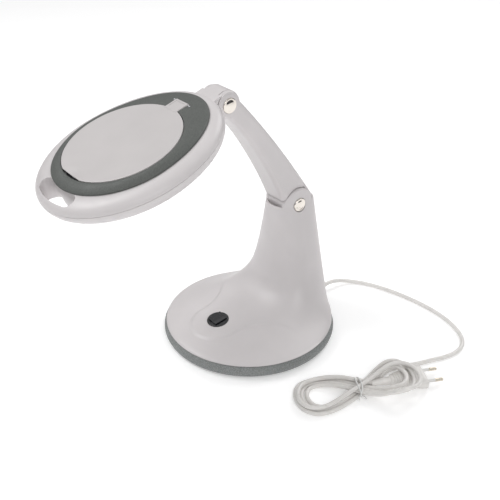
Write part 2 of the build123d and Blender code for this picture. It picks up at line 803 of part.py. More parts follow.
with BuildPart() as lens_retaining_ring:
    with BuildSketch(head_plane(lens_top)):
        Circle(lens_radius + 0.1)
        Circle(lens_radius - 2.2, mode=Mode.SUBTRACT)
    extrude(amount=2.6)
    add(lens.part, mode=Mode.SUBTRACT)
save(lens_retaining_ring, "lens_retaining_ring")

# light ring on the underside
board_outer = diffuser_radius + 0.5
led_radius = (lens_radius + diffuser_radius) / 2
with BuildPart() as led_board:
    with BuildSketch(head_plane(led_board_depth)):
        Circle(board_outer)
        Circle(lens_radius, mode=Mode.SUBTRACT)
    extrude(amount=1.6)
save(led_board, "led_board")

with BuildPart() as leds:
    with BuildSketch(head_plane(led_board_depth)):
        with PolarLocations(led_radius, led_count):
            Rectangle(2.8, 3.5)
    extrude(amount=-0.9)
save(leds, "leds")

with BuildPart() as diffuser_ring:
    with BuildSketch(head_plane(head_depth)):
        Circle(diffuser_radius)
        Circle(barrel_outer + 0.1, mode=Mode.SUBTRACT)
    extrude(amount=head_wall)
save(diffuser_ring, "diffuser_ring")


# ---- cord -----------------------------------------------------------------------------------

cord_radius = cord_diameter / 2
relief_start = tray_inner - 3
relief_end = base_radius + tray_bulge + 1 + relief_length
with BuildPart() as strain_relief:
    with BuildSketch(Plane(origin=(0, 0, cord_exit_height), x_dir=(1, 0, 0), z_dir=(0, 0, 1))):
        with BuildLine():
            Polyline((0, relief_start), (cord_radius + 2.3, relief_start),
                     (cord_radius + 2.3, tray_inner - 0.6), (cord_radius + 1.2, tray_inner - 0.6),
                     (cord_radius + 1.2, base_radius + tray_bulge + 0.6),
                     (cord_radius + 3.2, base_radius + tray_bulge + 0.6),
                     (cord_radius + 3.2, base_radius + tray_bulge + 2.4),
                     (cord_radius + 1.8, base_radius + tray_bulge + 2.6),
                     (cord_radius + 0.6, relief_end), (0, relief_end), (0, relief_start))
        make_face()
    revolve(axis=Axis((0, 0, cord_exit_height), (0, 1, 0)))
save(strain_relief, "strain_relief")

# the free stretch of the cord, from the strain relief round to the hank
cord_points = [
    (0, relief_end, cord_exit_height), (0, 140, cord_exit_height), (3, 154, 5.6),
    (11, 167, 3.0), (26, 178, cord_radius), (47, 187, cord_radius), (72, 194, cord_radius),
    (101, 199, cord_radius), (131, 200, cord_radius), (156, 195.5, cord_radius), (176, 187, cord_radius),
    (190, 174, cord_radius), (195, 157, cord_radius), (193, 140, cord_radius),
    (187, 123, cord_radius), (182, 107, cord_radius), (177, 95, cord_radius),
    (171.5, 80, cord_radius),
]


def bend_radii(points):
    """Largest smooth radius at each corner of a route: 0.45 of its shorter run."""
    radii = []
    for before, here, after in zip(points, points[1:], points[2:]):
        first = Vector(*here) - Vector(*before)
        second = Vector(*after) - Vector(*here)
        half_turn = radians(first.get_angle(second) / 2)
        radii.append(0.45 * min(first.length, second.length) / tan(half_turn))
    return radii


radii = bend_radii(cord_points)
print("cord bend radii", [round(radius) for radius in radii])
with BuildPart() as power_cord:
    with BuildLine() as route:
        FilletPolyline(*cord_points, radius=radii)
    with BuildSketch(Plane(origin=cord_points[0],
                           z_dir=Vector(*cord_points[1]) - Vector(*cord_points[0]))):
        Circle(cord_radius)
    sweep()
tube_length = sum(edge.length for edge in route.edges())
print("cord tube length", round(tube_length), "volume ratio",
      round(power_cord.part.volume / (pi * cord_radius ** 2 * tube_length), 4))
save(power_cord, "power_cord")

# flat two-pin plug lying inside the hank
plug_direction = Vector(0.45, 0.893, 0).normalized()
plug_face_center = Vector(202.5, 88.5, 0)
plug_half_thickness = 6.8
plug_width = 35.3
plug_length = 38.0
plug_taper = 23.0
pin_spacing = 18.6
pin_radius = 2.0
pin_length = 19.0
sleeve_length = 10.0
sleeve_radius = 1.85
core_radius = 1.5


def plug_plane(distance):
    """Plane across the plug: X across its width, Y up, distance behind the pin face."""
    middle = plug_face_center - plug_direction * distance + Vector(0, 0, plug_half_thickness)
    return Plane(origin=middle, x_dir=plug_direction.cross(Vector(0, 0, 1)),
                 z_dir=plug_direction * -1)


def plug_face(distance, width, thickness):
    with BuildSketch(plug_plane(distance)) as section:
        RectangleRounded(width, thickness, 0.42 * min(width, thickness))
    return section.sketch.face()


with BuildPart() as plug_body:
    thickness = 2 * plug_half_thickness
    loft([plug_face(0, plug_width, thickness), plug_face(7, plug_width - 1.5, thickness),
          plug_face(18, 26, thickness), plug_face(28, 20, thickness - 0.6),
          plug_face(plug_length, 12, 10)])
    loft([plug_face(plug_length, 9, 8.5),
          plug_face(plug_length + plug_taper, cord_diameter + 1, cord_diameter + 1)])
save(plug_body, "plug_body")

with BuildPart() as plug_pins:
    with BuildSketch(plug_plane(0)):
        with GridLocations(pin_spacing, 1, 2, 1):
            Circle(core_radius)
    extrude(amount=-sleeve_length)
    with BuildSketch(plug_plane(-sleeve_length)):
        with GridLocations(pin_spacing, 1, 2, 1):
            Circle(pin_radius)
    extrude(amount=sleeve_length - pin_length)
save(plug_pins, "plug_pins")

with BuildPart() as pin_sleeves:
    with BuildSketch(plug_plane(0)):
        with GridLocations(pin_spacing, 1, 2, 1):
            Circle(sleeve_radius)
            Circle(core_radius, mode=Mode.SUBTRACT)
    extrude(amount=-sleeve_length)
save(pin_sleeves, "pin_sleeves")

# the rest of the cord, folded into a loose hank tied at its waist
hank_center = Vector(173, 16, 0)
hank_direction = Vector(0.459, 0.888, 0).normalized()
hank_half_length = 68.0
hank_half_width = 27.0
hank_height = 20.0
waist_half_width = 9.0
waist_height = 15.0
tie_width = 4.0
tie_thickness = 1.2
hank_plane = Plane(origin=hank_center, x_dir=hank_direction, z_dir=(0, 0, 1))
hank_side = Plane(origin=hank_center, x_dir=hank_direction,
                  z_dir=hank_direction.cross(Vector(0, 0, 1)))
hank_across = Plane(origin=hank_center, x_dir=hank_plane.y_dir, z_dir=hank_direction)

with BuildPart() as hank_tie:
    with BuildSketch(hank_across.offset(-tie_width / 2)):
        with Locations((0, waist_height / 2)):
            RectangleRounded(2 * waist_half_width, waist_height, 3)
            RectangleRounded(2 * waist_half_width - 2 * tie_thickness,
                             waist_height - 2 * tie_thickness, 2, mode=Mode.SUBTRACT)
    extrude(amount=tie_width)
save(hank_tie, "hank_tie")

with BuildPart() as cord_hank:
    with BuildSketch(hank_plane):
        with BuildLine():
            Spline((0, -waist_half_width), (22, -15), (48, -hank_half_width),
                   (hank_half_length, -8), (hank_half_length - 2, 22), (46, 30), (20, 16),
                   (0, waist_half_width), (-24, 18), (-50, hank_half_width),
                   (-hank_half_length, 8), (-hank_half_length, -10),
                   (-50, -hank_half_width), (-24, -17), periodic=True)
        make_face()
    extrude(amount=hank_height)
    with BuildSketch(hank_side):
        with BuildLine():
            Polyline((-90, 0), (-90, 12), (-20, 13), (0, waist_height), (24, 19.5),
                     (90, hank_height), (90, 0), (-90, 0))
        make_face()
    extrude(amount=60, both=True, mode=Mode.INTERSECT)
    add(plug_body.part, mode=Mode.SUBTRACT)
    with BuildSketch(hank_across.offset(-tie_width / 2)):
        with Locations((0, 20)):
            Rectangle(60, 40)
        with Locations((0, waist_height / 2)):
            RectangleRounded(2 * waist_half_width - 2 * tie_thickness,
                             waist_height - 2 * tie_thickness, 2, mode=Mode.SUBTRACT)
    extrude(amount=tie_width, mode=Mode.SUBTRACT)
save(cord_hank, "cord_hank")
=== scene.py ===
import json
from math import cos, pi, radians, sin, sqrt

import bmesh
import bpy
from mathutils import Matrix, Vector


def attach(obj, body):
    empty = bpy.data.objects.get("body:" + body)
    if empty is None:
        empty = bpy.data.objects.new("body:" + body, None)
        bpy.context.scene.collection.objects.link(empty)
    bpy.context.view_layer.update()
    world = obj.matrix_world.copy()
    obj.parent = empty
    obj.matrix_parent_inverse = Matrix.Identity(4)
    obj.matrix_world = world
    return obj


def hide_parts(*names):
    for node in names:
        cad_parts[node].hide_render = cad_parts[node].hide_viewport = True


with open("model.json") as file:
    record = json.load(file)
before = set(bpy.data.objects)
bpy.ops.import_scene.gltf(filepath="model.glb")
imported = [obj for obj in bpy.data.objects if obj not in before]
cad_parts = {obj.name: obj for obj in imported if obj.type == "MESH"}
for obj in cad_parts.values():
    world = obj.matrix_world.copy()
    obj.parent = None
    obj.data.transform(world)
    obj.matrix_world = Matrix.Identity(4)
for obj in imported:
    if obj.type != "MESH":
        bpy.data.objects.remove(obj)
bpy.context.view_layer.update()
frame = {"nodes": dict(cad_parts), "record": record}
nodes = frame["nodes"]

# the lamp's shapes are in millimetres; textures, the cord's facts, the studio and the camera
# are in metres
MM = 0.001


# ---- material builder -----------------------------------------------------------------------

class Finish:
    """A material whose colour, roughness and bump are built up from object-space textures."""

    def __init__(self, name, color, roughness=0.5, **sockets):
        self.material = bpy.data.materials.new(name)
        self.material.use_nodes = True
        self.tree = self.material.node_tree
        self.shader = self.tree.nodes["Principled BSDF"]
        self.set("Base Color", (*color, 1))
        self.set("Roughness", roughness)
        for socket, value in sockets.items():
            self.set(socket.replace("_", " "), value)
        self.coords = self.tree.nodes.new("ShaderNodeTexCoord").outputs["Object"]
        self.height = None

    def set(self, socket, value):
        self.shader.inputs[socket].default_value = value

    def link(self, source, target):
        self.tree.links.new(source, target)

    def noise(self, size, detail=2.0, roughness=0.5, distortion=0.0):
        """Smooth noise with blobs of about this size in metres; its factor output."""
        node = self.tree.nodes.new("ShaderNodeTexNoise")
        node.inputs["Scale"].default_value = 1 / size
        node.inputs["Detail"].default_value = detail
        node.inputs["Roughness"].default_value = roughness
        node.inputs["Distortion"].default_value = distortion
        self.link(self.coords, node.inputs["Vector"])
        return node.outputs["Fac"]

    def cells(self, size, feature="F1"):
        """Cell distances with cells of about this size in metres."""
        node = self.tree.nodes.new("ShaderNodeTexVoronoi")
        node.feature = feature
        node.inputs["Scale"].default_value = 1 / size
        self.link(self.coords, node.inputs["Vector"])
        return node.outputs["Distance"]

    def between(self, factor, low, high, from_low=0.3, from_high=0.7):
        """Maps a factor to a range of values."""
        node = self.tree.nodes.new("ShaderNodeMapRange")
        node.inputs["From Min"].default_value = from_low
        node.inputs["From Max"].default_value = from_high
        node.inputs["To Min"].default_value = low
        node.inputs["To Max"].default_value = high
        self.link(factor, node.inputs["Value"])
        return node.outputs["Result"]

    def vary_color(self, factor, dark, light, from_low=0.3, from_high=0.7):
        """Colours the surface from dark to light as the factor rises."""
        node = self.tree.nodes.new("ShaderNodeValToRGB")
        node.color_ramp.elements[0].position = from_low
        node.color_ramp.elements[0].color = (*dark, 1)
        node.color_ramp.elements[1].position = from_high
        node.color_ramp.elements[1].color = (*light, 1)
        self.link(factor, node.inputs["Fac"])
        self.link(node.outputs["Color"], self.shader.inputs["Base Color"])

    def vary_roughness(self, factor, low, high, from_low=0.3, from_high=0.7):
        self.link(self.between(factor, low, high, from_low, from_high),
                  self.shader.inputs["Roughness"])

    def bump(self, factor, depth, strength=1.0):
        """Adds relief of this depth in metres."""
        node = self.tree.nodes.new("ShaderNodeBump")
        node.inputs["Distance"].default_value = depth
        node.inputs["Strength"].default_value = strength
        self.link(factor, node.inputs["Height"])
        if self.height is not None:
            self.link(self.height, node.inputs["Normal"])
        self.height = node.outputs["Normal"]
        self.link(self.height, self.shader.inputs["Normal"])


def shade(color, amount):
    """The colour, darker or lighter by a factor."""
    return tuple(channel * amount for channel in color)


# ---- materials ------------------------------------------------------------------------------

def moulded_plastic(name, color, roughness, grain=0.0006, grain_depth=0.00001, coat=0.0):
    """Injection-moulded plastic: faint flow marks, fine grain, fingerprints in the gloss."""
    finish = Finish(name, color, roughness, Coat_Weight=coat, Coat_Roughness=0.12, IOR=1.5)
    finish.vary_color(finish.noise(0.03, 4), shade(color, 0.975), shade(color, 1.015))
    finish.vary_roughness(finish.noise(0.012, 5, 0.65, 0.6), roughness - 0.05, roughness + 0.07)
    finish.bump(finish.noise(0.016, 1), 0.00004)
    finish.bump(finish.noise(grain, 2), grain_depth)
    return finish.material


def spark_eroded_plastic(name, dark, light, grain, depth, roughness):
    """Matt moulding with a coarse eroded texture that catches light as fine specks."""
    finish = Finish(name, light, roughness, IOR=1.5)
    finish.vary_color(finish.noise(grain, 3, 0.7), dark, light, 0.38, 0.64)
    finish.vary_roughness(finish.noise(0.02, 4), roughness - 0.06, roughness + 0.08)
    finish.bump(finish.noise(grain, 3, 0.7), depth)
    finish.bump(finish.cells(1.7 * grain), 0.6 * depth)
    return finish.material


def polished_chrome(name):
    finish = Finish(name, (0.80, 0.75, 0.69), 0.07, Metallic=1.0)
    finish.vary_roughness(finish.noise(0.002, 5, 0.7), 0.05, 0.14)
    finish.bump(finish.noise(0.0005, 2), 0.000002)
    return finish.material


def plated_metal(name, color, roughness, streak=0.0004):
    finish = Finish(name, color, roughness, Metallic=1.0)
    finish.vary_color(finish.noise(0.0016, 4), shade(color, 0.82), shade(color, 1.08))
    finish.vary_roughness(finish.noise(streak, 4, 0.7), roughness - 0.06, roughness + 0.12)
    finish.bump(finish.noise(streak, 2), 0.000005)
    return finish.material


def soft_sheath(name, color, roughness):
    """Extruded PVC: slightly glossy, with faint dust and a fine drawn surface."""
    finish = Finish(name, color, roughness, IOR=1.48, Coat_Weight=0.15, Coat_Roughness=0.25)
    finish.vary_color(finish.noise(0.008, 5, 0.6), shade(color, 0.93), shade(color, 1.02))
    finish.vary_roughness(finish.noise(0.004, 4), roughness - 0.07, roughness + 0.09)
    finish.bump(finish.noise(0.0009, 3), 0.00002)
    return finish.material


def optical_glass(name):
    finish = Finish(name, (0.86, 0.92, 0.96), 0.02, Transmission_Weight=1.0, IOR=1.5)
    finish.vary_roughness(finish.noise(0.01, 5, 0.6), 0.01, 0.05)
    return finish.material


def foam(name):
    finish = Finish(name, (0.03, 0.03, 0.032), 0.9)
    finish.vary_color(finish.cells(0.0012), (0.012, 0.012, 0.013), (0.05, 0.05, 0.052), 0.0, 0.6)
    finish.bump(finish.cells(0.0012), 0.0003)
    return finish.material


def board(name, color):
    finish = Finish(name, color, 0.4, Coat_Weight=0.4, Coat_Roughness=0.2)
    finish.vary_color(finish.cells(0.004, "F2"), shade(color, 0.8), shade(color, 1.1))
    finish.bump(finish.noise(0.001, 3), 0.00003)
    return finish.material


def opal(name):
    finish = Finish(name, (0.9, 0.9, 0.89), 0.5, Subsurface_Weight=0.3, Subsurface_Scale=0.003)
    finish.vary_roughness(finish.noise(0.006, 4), 0.42, 0.58)
    finish.bump(finish.cells(0.0011), 0.00005)
    return finish.material


white = (0.62, 0.592, 0.594)
lid_white = (0.55, 0.525, 0.522)
black = (0.012, 0.012, 0.014)
MATERIALS = {
    "white_plastic": moulded_plastic("white_plastic", white, 0.38),
    "lid_plastic": moulded_plastic("lid_plastic", lid_white, 0.38, coat=0.05),
    "grey_plastic": spark_eroded_plastic("grey_plastic", (0.14, 0.148, 0.146),
                                         (0.31, 0.325, 0.32), 0.0009, 0.00012, 0.62),
    "dark_grey_plastic": spark_eroded_plastic("dark_grey_plastic", (0.068, 0.074, 0.069),
                                              (0.125, 0.133, 0.124), 0.0007, 0.0001, 0.55),
    "black_plastic": moulded_plastic("black_plastic", black, 0.28, coat=0.3),
    "black_rocker": moulded_plastic("black_rocker", shade(black, 1.4), 0.2, coat=0.5),
    "chrome": polished_chrome("chrome"),
    "black_foam": foam("black_foam"),
    "ballast_steel": plated_metal("ballast_steel", (0.22, 0.22, 0.23), 0.5, 0.002),
    "screw_steel": plated_metal("screw_steel", (0.6, 0.6, 0.62), 0.3),
    "nylon": moulded_plastic("nylon", (0.8, 0.79, 0.74), 0.5),
    "circuit_board": board("circuit_board", (0.03, 0.18, 0.07)),
    "circuit_board_white": board("circuit_board_white", (0.8, 0.81, 0.8)),
    "electronics": moulded_plastic("electronics", (0.05, 0.05, 0.07), 0.4),
    "friction_fibre": spark_eroded_plastic("friction_fibre", (0.16, 0.1, 0.05),
                                           (0.3, 0.2, 0.12), 0.0005, 0.00008, 0.8),
    "cord_sheath": soft_sheath("cord_sheath", (0.76, 0.74, 0.715), 0.34),
    "tie_plastic": moulded_plastic("tie_plastic", (0.76, 0.76, 0.75), 0.3),
    "pin_metal": plated_metal("pin_metal", (0.72, 0.66, 0.56), 0.24),
    "sleeve_plastic": moulded_plastic("sleeve_plastic", (0.72, 0.71, 0.69), 0.42),
    "lens_glass": optical_glass("lens_glass"),
    "led_lamp": moulded_plastic("led_lamp", (0.85, 0.72, 0.3), 0.3, coat=0.6),
    "diffuser": opal("diffuser"),
}

slots = {row["node"]: row["material_slot"] for row in frame["record"]["subparts"]}
for name, node in nodes.items():
    node.data.materials.clear()
    node.data.materials.append(MATERIALS[slots[name]])


# ---- mesh helpers ---------------------------------------------------------------------------

def new_piece(name, points, faces, material, crease=32):
    """Mesh object from points in millimetres, smooth but for edges sharper than crease degrees."""
    mesh = bpy.data.meshes.new(name)
    mesh.from_pydata([Vector(point) * MM for point in points], [], faces)
    mesh.validate()
    mesh.materials.append(MATERIALS[material])
    piece = bpy.data.objects.new(name, mesh)
    bpy.context.scene.collection.objects.link(piece)
    tidy_normals(piece, crease)
    return piece


def tidy_normals(piece, crease):
    work = bmesh.new()
    work.from_mesh(piece.data)
    bmesh.ops.recalc_face_normals(work, faces=work.faces)
    work.to_mesh(piece.data)
    work.free()
    piece.data.shade_smooth()
    piece.data.set_sharp_from_angle(angle=radians(crease))


def ring_faces(rows, count, first=0, close=False):
    """Quads between rows of count points each; close joins the last row to the first."""
    faces = []
    for row in range(rows if close else rows - 1):
        low = first + row * count
        high = first + (row + 1) % rows * count
        for step in range(count):
            after = (step + 1) % count
            faces.append((low + step, low + after, high + after, high + step))
    return faces


def lathe_rows(rows, name, material, crease=32, close=False):
    """Piece from rows of equally many points; open rows get a flat face at each end."""
    count = len(rows[0])
    faces = ring_faces(len(rows), count, close=close)
    if not close:
        faces.append(tuple(range(count)))
        faces.append(tuple(range((len(rows) - 1) * count, len(rows) * count)))
    return new_piece(name, [point for row in rows for point in row], faces, material, crease)


def carve(piece, cutter, operation="DIFFERENCE", crease=40):
    """Cuts or joins cutter, which is used up."""
    modifier = piece.modifiers.new("carve", "BOOLEAN")
    modifier.operation = operation
    modifier.solver = "EXACT"
    modifier.object = cutter
    bpy.context.view_layer.update()
    shaped = bpy.data.meshes.new_from_object(piece.evaluated_get(
        bpy.context.evaluated_depsgraph_get()))
    piece.modifiers.clear()
    piece.data = shaped
    bpy.data.objects.remove(cutter)
    tidy_normals(piece, crease)


def drum(center, axis, radius, low, high, count=72):
    """Cylinder about an axis through center, from low to high along it, used as a cutter."""
    axis = Vector(axis).normalized()
    across = axis.orthogonal().normalized()
    other = axis.cross(across)
    rows = []
    for reach in (low, high):
        rows.append([Vector(center) + axis * reach + across * radius * cos(2 * pi * step / count)
                     + other * radius * sin(2 * pi * step / count) for step in range(count)])
    return lathe_rows(rows, "cutter", "white_plastic")


def soften(piece, chosen, width, segments=3, crease=40):
    """Rounds the edges that chosen(edge) picks out."""
    work = bmesh.new()
    work.from_mesh(piece.data)
    bmesh.ops.remove_doubles(work, verts=work.verts, dist=0.05 * MM)
    edges = [edge for edge in work.edges if len(edge.link_faces) == 2 and chosen(edge)]
    bmesh.ops.bevel(work, geom=edges, offset=width * MM, offset_type="OFFSET", segments=segments,
                    profile=0.5, affect="EDGES", clamp_overlap=True)
    work.to_mesh(piece.data)
    work.free()
    tidy_normals(piece, crease)


def place(piece, body, slot, *replaced):
    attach(piece, body)
    if replaced:
        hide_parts(*replaced)
    return piece


def ease(value):
    """Smooth step from 0 to 1."""
    value = min(max(value, 0.0), 1.0)
    return value * value * (3 - 2 * value)


# ---- base shell: dome, column, collar and the two cheeks of the lower hinge -----------------

BASE_RADIUS = 100.0
RIM = 15.0
COLLAR = 157.0
COLUMN_FRONT = 32.0          # the column at the collar, before the flare is added
COLUMN_BACK = 90.0
COLUMN_HALF_WIDTH = 21.5
FOOT_HALF_WIDTH = 58.0       # and its half width at the rim
LOWER_PIVOT = (57.5, 157.5)
CHEEK_RADIUS = 19.5
CHEEK_INNER = 14.2
CAP_SEAT = 18.9              # floor of the round seat of a cap, from the plane of symmetry
CAP_SEAT_RADIUS = 8.6
SHELL_WALL = 2.8
EDGE_ROUNDING = 0.8          # of the upper edge
CROWN_START = 112.0          # height from which the levels bend up over the cheeks
FRONT_FLARE = (0.104, 2.5)   # spread and power of the flare, as shares of the height
FLANK_FLARE = (0.068, 1.8)
FRONT_SPREAD = COLUMN_FRONT + BASE_RADIUS
FLANK_SPREAD = BASE_RADIUS - FOOT_HALF_WIDTH
SWITCH_CENTER = Vector((0, -46.5, 28.4))
SWITCH_AXIS = Vector((0, -sin(radians(8)), cos(radians(8))))
SWITCH_HOLE = 11.6           # radius
APRON_RADIUS = 31.0          # raised field, round at the switch and wider towards the column
APRON_CENTER = -48.0
APRON_WIDENING = 29.0        # of its half width, at this reach behind its centre
APRON_REACH = 53.0
APRON_FADE_START = 50.0      # it fades out from this half width, over this much more
APRON_FADE = 25.0
APRON_STEP = 1.5
APRON_SOFTNESS = 2.2
SHELL_POINTS = 360           # round the shell, and levels up it
SHELL_LEVELS = 150


def fade(share, spread, power):
    """Falls smoothly from 1 at the rim towards 0 at the top of the column."""
    return 1 / (1 + (share / spread) ** power)


def superellipse(turn, power):
    """Cosine and sine of a turn, pushed out towards the corners as the power rises."""
    along, aside = cos(turn), sin(turn)
    return (abs(along) ** (2 / power) * (1 if along > 0 else -1),
            abs(aside) ** (2 / power) * (1 if aside > 0 else -1))


def shell_outline(height, turn, inset=0.0):
    """Place on the shell's outline at a height: the dome flares smoothly into the column."""
    share = min(max((height - RIM) / (COLLAR - RIM), 0.0), 1.0)
    front = COLUMN_FRONT - FRONT_SPREAD * fade(share, *FRONT_FLARE) + inset
    back = BASE_RADIUS - (BASE_RADIUS - COLUMN_BACK) * share - inset
    half = FOOT_HALF_WIDTH - (FOOT_HALF_WIDTH - COLUMN_HALF_WIDTH) * share - inset
    half += FLANK_SPREAD * fade(share, *FLANK_FLARE)
    widest = (LOWER_PIVOT[0] + 4) * (1 - fade(share, 0.09, 1.8))
    along, aside = superellipse(turn, 2 + 0.5 * share / (share + 0.05))
    return half * along, widest + (back - widest if aside > 0 else widest - front) * aside


def top_height(y, drop=0.0):
    """Upper edge of the column: level at the collar, round over the cheeks of the hinge."""
    radius = CHEEK_RADIUS - drop
    reach = abs(y - LOWER_PIVOT[0])
    if reach < radius:
        return max(COLLAR - drop, LOWER_PIVOT[1] + sqrt(radius ** 2 - reach ** 2))
    return COLLAR - drop


def apron_rise(x, y):
    """Height of the low raised field that runs out of the column and round the switch."""
    beyond = y - APRON_CENTER
    if beyond < 0:
        inside = APRON_RADIUS - sqrt(x * x + beyond ** 2)
    else:
        inside = APRON_RADIUS + APRON_WIDENING * (beyond / APRON_REACH) ** 2.4 - abs(x)
    fading = 1 - ease((abs(x) - APRON_FADE_START) / APRON_FADE)
    return APRON_STEP * ease(0.5 + inside / APRON_SOFTNESS) * fading


def shell_shares():
    """Shares of the height for the shell's levels, about equally far apart over its surface."""
    fine_steps = 4000
    fine = [(step / fine_steps) ** 2 for step in range(fine_steps + 1)]
    lengths = [0.0]
    for low, high in zip(fine, fine[1:]):
        rise = (high - low) * (COLLAR - RIM)
        front = FRONT_SPREAD * (fade(low, *FRONT_FLARE) - fade(high, *FRONT_FLARE))
        flank = FLANK_SPREAD * (fade(low, *FLANK_FLARE) - fade(high, *FLANK_FLARE))
        lengths.append(lengths[-1] + sqrt(rise ** 2 + (0.5 * front + 0.5 * flank) ** 2))
    shares, index = [], 0
    for step in range(1, SHELL_LEVELS + 1):
        target = lengths[-1] * step / SHELL_LEVELS
        while lengths[index] < target and index < fine_steps:
            index += 1
        shares.append(fine[index])
    # the first level meets the lip, and none of the others comes too close to it
    return [0.0106] + [share for share in shares if share > 0.014]


def shell_level(share, turns):
    """Row round the outside of the shell, which rises over the cheeks near the top."""
    level = RIM + share * (COLLAR - RIM)
    row = []
    for turn in turns:
        crown_y = shell_outline(COLLAR, turn)[1]
        top = top_height(crown_y, EDGE_ROUNDING) - COLLAR
        height = level + top * ease((level - CROWN_START) / (COLLAR - CROWN_START))
        x, y = shell_outline(height if share < 1 else COLLAR, turn)
        # the raised field starts just above the lip and fades out up the column
        rise = apron_rise(x, y) * (1 - ease((share - 0.2) / 0.2))
        row.append((x, y, height + rise * ease((share - 0.011) / 0.02)))
    return row


def shell_edge(reach, drop, turns):
    """Row on the upper edge: reach in from the outer wall, and drop below the top. The deep row,
    inside the column, is level."""
    row = []
    for turn in turns:
        x, y = shell_outline(COLLAR, turn)
        inner_x, inner_y = shell_outline(COLLAR, turn, SHELL_WALL)
        inner_x = max(-CHEEK_INNER, min(CHEEK_INNER, inner_x))
        across = Vector((inner_x - x, inner_y - y))
        share = reach / across.length
        if reach > SHELL_WALL / 2:
            share = 1 - (SHELL_WALL - reach) / across.length
        spot = Vector((x, y)) + across * share
        row.append((spot.x, spot.y, top_height(spot.y, drop) if drop < 5 else COLLAR - drop))
    return row


def base_shell():
    turns = [2 * pi * step / SHELL_POINTS for step in range(SHELL_POINTS)]
    # radius and height of the rows round the lower edge
    lip = [(97.5, 15.02), (98.4, 15.02), (98.5, 15.5), (99.6, 15.5), (100.05, 15.62),
           (100.2, 15.9), (100.05, 16.2), (99.6, 16.4)]
    rows = [[(radius * cos(turn), radius * sin(turn), height) for turn in turns]
            for radius, height in lip]
    rows += [shell_level(share, turns) for share in shell_shares()]
    for reach, drop in ((0.08, 0.4), (0.28, 0.14), (0.8, 0.0), (2.1, 0.0), (2.6, 0.16),
                        (2.8, 0.6), (2.8, 21)):
        rows.append(shell_edge(reach, drop, turns))
    shell = lathe_rows(rows, "column_and_dome", "white_plastic", 40)
    carve(shell, drum(SWITCH_CENTER, SWITCH_AXIS, SWITCH_HOLE, -20, 12))
    for side in (1, -1):
        carve(shell, drum((0, *LOWER_PIVOT), (side, 0, 0), CAP_SEAT_RADIUS, CAP_SEAT, 30))
    return place(shell, "base", "white_plastic", "base_shell")


base_shell()


# ---- head: cover, housing, ring and lid -----------------------------------------------------

HEAD_ORIGIN = Vector((0, -153.167, 284.687))
HEAD_TILT = radians(18.3)
HEAD_BACK = Vector((0, cos(HEAD_TILT), sin(HEAD_TILT)))
HEAD_UP = Vector((0, -sin(HEAD_TILT), cos(HEAD_TILT)))
WIDEST = (87.0, 95.0, 103.0)         # half width, front and rear of the head's outlines
COVER_EDGE = (72.5, 75.0, 93.5)
RING_EDGE = (71.5, 74.0, 92.5)
BOTTOM_EDGE = (72.0, 79.0, 88.0)
PARTING = 16.0                       # depths below the lid
COVER_TOP = 6.6
UNDERSIDE = 31.0
# distance from the parting, and inset, of the rows that round its edges
PARTING_EDGE = ((0.02, 1.2), (0.12, 0.5), (0.26, 0.06))
LENS_OPENING = 62.6                  # radii of the hole under the lid and of the one below it
LIGHT_OPENING = 69.6
SLOT_WIDTH = 15.0                    # finger slot through the front, on an arc
SLOT_RADIUS = 76.2
SLOT_HALF_ANGLE = radians(17)
SLOT_CENTER = -5.0
HEAD_SCREWS = ((42, 70), (-42, 70), (38, -64), (-38, -64))
HEAD_TURNS = [2 * pi * step / 192 for step in range(192)]


def head_point(x, back, depth):
    """A place on the head: sideways, back from the lens's axis, and below the lid."""
    return Vector((x, 0, 0)) + HEAD_ORIGIN + HEAD_BACK * back - HEAD_UP * depth


def head_row(sizes, depth, inset=0.0):
    """Egg-shaped row round the head, at a depth below the lid."""
    half, front, rear = (size - inset for size in sizes)
    return [head_point(half * cos(turn), (rear if sin(turn) > 0 else front) * sin(turn), depth)
            for turn in HEAD_TURNS]


def quarter_rows(outer, inner, start, end, steps=16):
    """Rows that turn over from the outer outline to the inner one like a quarter of an oval."""
    rows = []
    for step in range(1, steps + 1):
        turn = pi / 2 * step / steps
        sizes = [i + (o - i) * cos(turn) for o, i in zip(outer, inner)]
        rows.append(head_row(sizes, start + (end - start) * sin(turn)))
    return rows


def circle_row(radius, depth):
    return head_row((radius, radius, radius), depth)


def slot_cutter():
    """Curved finger slot through the front of the head, with round ends."""
    half_width, arc_steps, end_steps = SLOT_WIDTH / 2, 24, 12
    points = []

    def add(turn, reach, sideways=0.0):
        points.append((reach * sin(turn) + sideways * cos(turn),
                       SLOT_CENTER - reach * cos(turn) + sideways * sin(turn)))

    for side in (1, -1):
        for step in range(arc_steps + 1):
            turn = side * (-SLOT_HALF_ANGLE + 2 * SLOT_HALF_ANGLE * step / arc_steps)
            add(turn, SLOT_RADIUS + side * half_width)
        for step in range(1, end_steps):
            turn = pi * step / end_steps
            add(side * SLOT_HALF_ANGLE, SLOT_RADIUS + side * half_width * cos(turn),
                side * half_width * sin(turn))
    rows = [[head_point(x, y, depth) for x, y in points] for depth in (40, -4)]
    return lathe_rows(rows, "cutter", "white_plastic")


def near_slot(point):
    """True close to the walls of the finger slot."""
    half_width, nearest = 32.0, 60.0
    spot = Vector(point) / MM - HEAD_ORIGIN
    return abs(spot.x) < half_width and spot.dot(HEAD_BACK) < -nearest


def round_slot(piece):
    """Rolls over the sharp edges round the finger slot."""
    def on_rim(edge):
        middle = (edge.verts[0].co + edge.verts[1].co) / 2
        if not near_slot(middle) or edge.calc_face_angle(0) < radians(38):
            return False
        depth = -(middle / MM - HEAD_ORIGIN).dot(HEAD_UP)
        return depth < PARTING - 1 or depth > PARTING + 1
    soften(piece, on_rim, 1.1)


